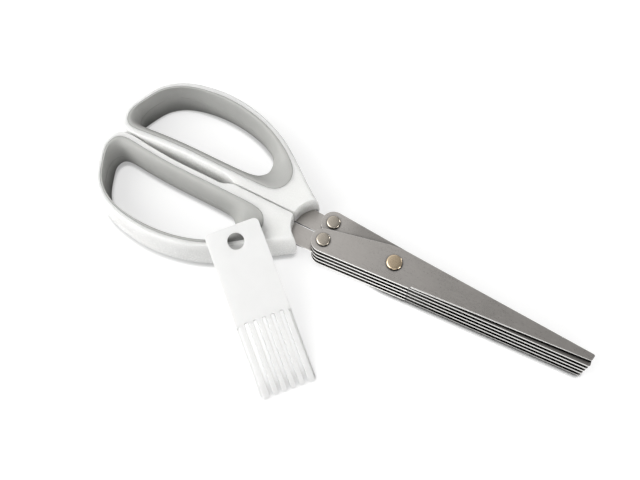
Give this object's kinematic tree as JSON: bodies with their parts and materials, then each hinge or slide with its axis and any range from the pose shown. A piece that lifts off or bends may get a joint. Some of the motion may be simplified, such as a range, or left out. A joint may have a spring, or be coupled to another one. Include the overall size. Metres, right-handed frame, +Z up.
{
  "type": "herb scissors",
  "caption": "Multi-blade herb scissors lying closed, with two-material finger loops, and a loose comb that cleans the blades.",
  "frame": {"origin": "on the pivot axis, on the lower face of the pivot rivet's head", "axes": "+X along the closed blades to their tips, +Y towards the thumb handle, +Z up, square to the blades"},
  "size_m": [0.1998, 0.098, 0.0235],
  "materials": {
    "white_shell": "smooth, satin gloss",
    "soft_grey_lining": "soft, matt",
    "brushed_steel": "fine brushed",
    "rivet_steel": "turned, satin",
    "comb_white": "smooth, satin"
  },
  "bodies": {
    "finger_half": {"finger_handle_shell": "white_shell", "finger_grip_lining": "soft_grey_lining", "finger_blade_1": "brushed_steel", "finger_blade_2": "brushed_steel", "finger_blade_3": "brushed_steel", "finger_blade_4": "brushed_steel", "finger_blade_5": "brushed_steel", "finger_rear_rivet": "rivet_steel", "finger_spacer_1": "brushed_steel", "finger_spacer_2": "brushed_steel", "finger_spacer_3": "brushed_steel", "finger_spacer_4": "brushed_steel", "pivot_rivet": "rivet_steel", "pivot_washer_1": "rivet_steel", "pivot_washer_2": "rivet_steel", "pivot_washer_3": "rivet_steel", "pivot_washer_4": "rivet_steel"},
    "thumb_half": {"thumb_handle_shell": "white_shell", "thumb_grip_lining": "soft_grey_lining", "thumb_blade_1": "brushed_steel", "thumb_blade_2": "brushed_steel", "thumb_blade_3": "brushed_steel", "thumb_blade_4": "brushed_steel", "thumb_blade_5": "brushed_steel", "thumb_rear_rivet": "rivet_steel", "thumb_spacer_1": "brushed_steel", "thumb_spacer_2": "brushed_steel", "thumb_spacer_3": "brushed_steel", "thumb_spacer_4": "brushed_steel"},
    "comb": {"cleaning_comb": "comb_white"}
  },
  "joints": [
    {"name": "pivot", "type": "hinge", "parent": "finger_half", "child": "thumb_half", "pos_m": [0, 0, 0], "axis": [0, 0, -1], "range_deg": [0, 60]},
    {"name": "comb_lift", "type": "slide", "parent": "finger_half", "child": "comb", "axis": [0, 0, 1], "range_m": [0, 0.05]}
  ]
}
